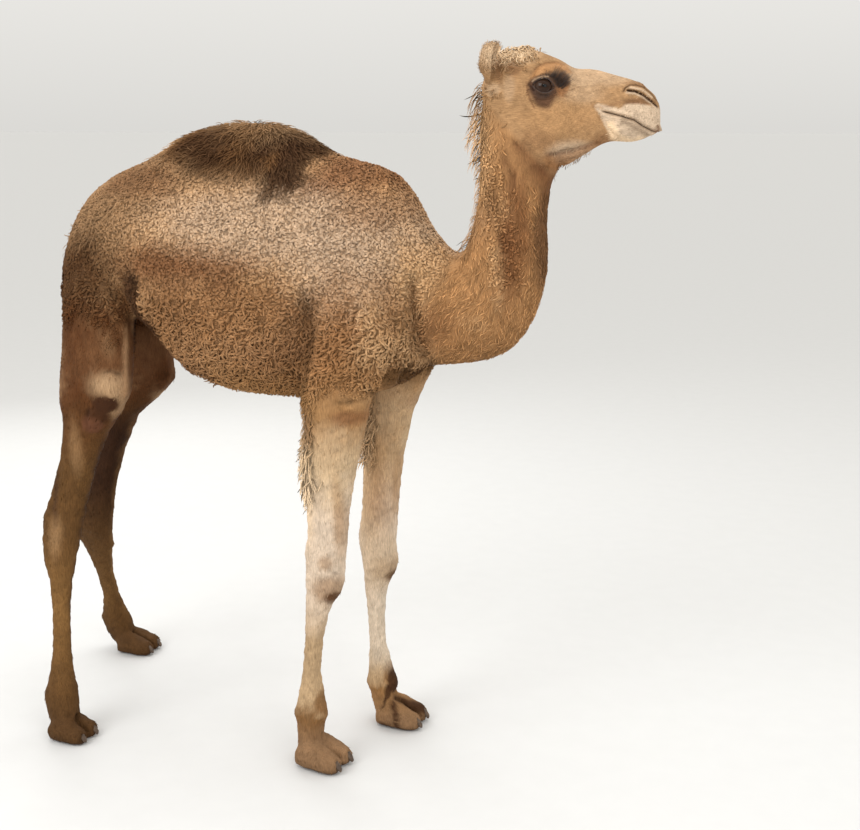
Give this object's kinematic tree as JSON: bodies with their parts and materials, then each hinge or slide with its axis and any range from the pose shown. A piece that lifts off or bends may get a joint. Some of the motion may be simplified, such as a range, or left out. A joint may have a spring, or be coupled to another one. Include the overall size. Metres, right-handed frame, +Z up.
{
  "type": "young dromedary camel",
  "caption": "Still, life-size young one-humped camel standing square with its head raised and its mouth closed.",
  "frame": {"origin": "on the floor, under the middle of the body's box", "axes": "+X the way the body faces, +Y its left side, +Z up"},
  "size_m": [1.7482, 0.7141, 1.7958],
  "materials": {
    "short_coat": "short flat tan hair",
    "neck_coat": "short golden-brown hair",
    "curled_coat": "tightly curled tan wool",
    "hump_coat": "soft dark brown hair",
    "leg_coat": "short flat hair, fawn to brown",
    "foot_skin": "short hair over leathery pads",
    "claw": "dull dark horn",
    "eye": "wet dark brown"
  },
  "bodies": {
    "root": {"head": "short_coat", "neck": "neck_coat", "trunk": "curled_coat", "hump": "hump_coat", "tail": "leg_coat", "ear_left": "short_coat", "ear_right": "short_coat", "eye_left": "eye", "eye_right": "eye", "foreleg_left_upper": "leg_coat", "foreleg_left_cannon": "leg_coat", "foreleg_left_foot": "foot_skin", "foreleg_left_claw_inner": "claw", "foreleg_left_claw_outer": "claw", "foreleg_right_upper": "leg_coat", "foreleg_right_cannon": "leg_coat", "foreleg_right_foot": "foot_skin", "foreleg_right_claw_inner": "claw", "foreleg_right_claw_outer": "claw", "hindleg_left_upper": "leg_coat", "hindleg_left_cannon": "leg_coat", "hindleg_left_foot": "foot_skin", "hindleg_left_claw_inner": "claw", "hindleg_left_claw_outer": "claw", "hindleg_right_upper": "leg_coat", "hindleg_right_cannon": "leg_coat", "hindleg_right_foot": "foot_skin", "hindleg_right_claw_inner": "claw", "hindleg_right_claw_outer": "claw"}
  },
  "joints": []
}
